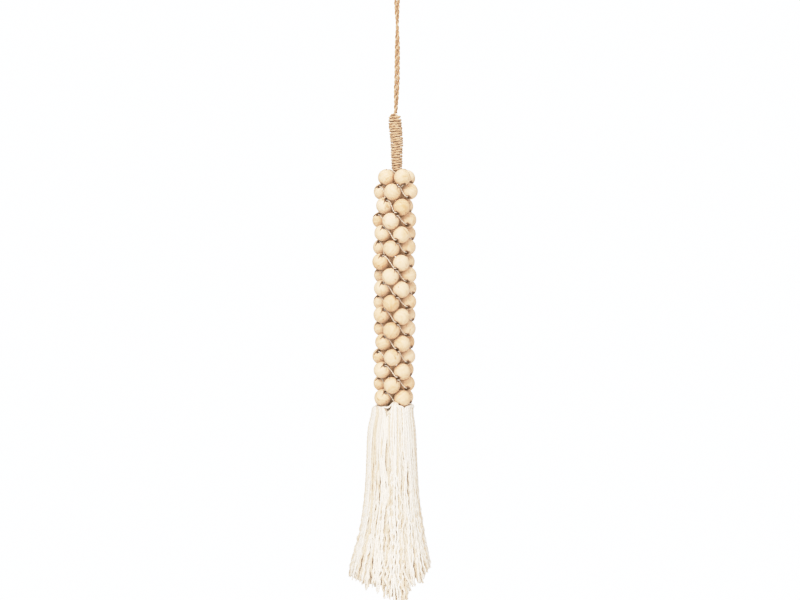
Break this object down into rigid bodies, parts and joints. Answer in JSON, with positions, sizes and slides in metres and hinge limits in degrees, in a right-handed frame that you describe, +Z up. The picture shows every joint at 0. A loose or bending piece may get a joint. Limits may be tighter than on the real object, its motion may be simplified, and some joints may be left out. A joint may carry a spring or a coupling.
{
  "type": "beaded hanging tassel",
  "caption": "Decorative hanging tassel: a twisted cord loop and wound neck, a tube of round wooden beads strung on cotton thread, and long bundles of cotton yarn below.",
  "frame": {"origin": "inside top of the hanging loop, where a hook carries it", "axes": "+Z up along the hanging line, +X to the right seen from the front, the front faces -Y"},
  "size_m": [0.0885, 0.0968, 0.7099],
  "materials": {
    "jute": "matt twisted bast fibre",
    "natural_wood": "plain sanded wood, unvarnished, on off-white cotton thread",
    "cotton_yarn": "matt undyed cotton"
  },
  "bodies": {
    "root": {"hanging_loop": "jute", "neck_wrap": "jute", "bead_row_01": "natural_wood", "bead_row_02": "natural_wood", "bead_row_03": "natural_wood", "bead_row_04": "natural_wood", "bead_row_05": "natural_wood", "bead_row_06": "natural_wood", "bead_row_07": "natural_wood", "bead_row_08": "natural_wood", "bead_row_09": "natural_wood", "bead_row_10": "natural_wood", "bead_row_11": "natural_wood", "bead_row_12": "natural_wood", "bead_row_13": "natural_wood", "bead_row_14": "natural_wood", "bead_row_15": "natural_wood", "bead_row_16": "natural_wood", "bead_row_17": "natural_wood", "tassel_front": "cotton_yarn", "tassel_right": "cotton_yarn", "tassel_back": "cotton_yarn", "tassel_left": "cotton_yarn"}
  },
  "joints": []
}
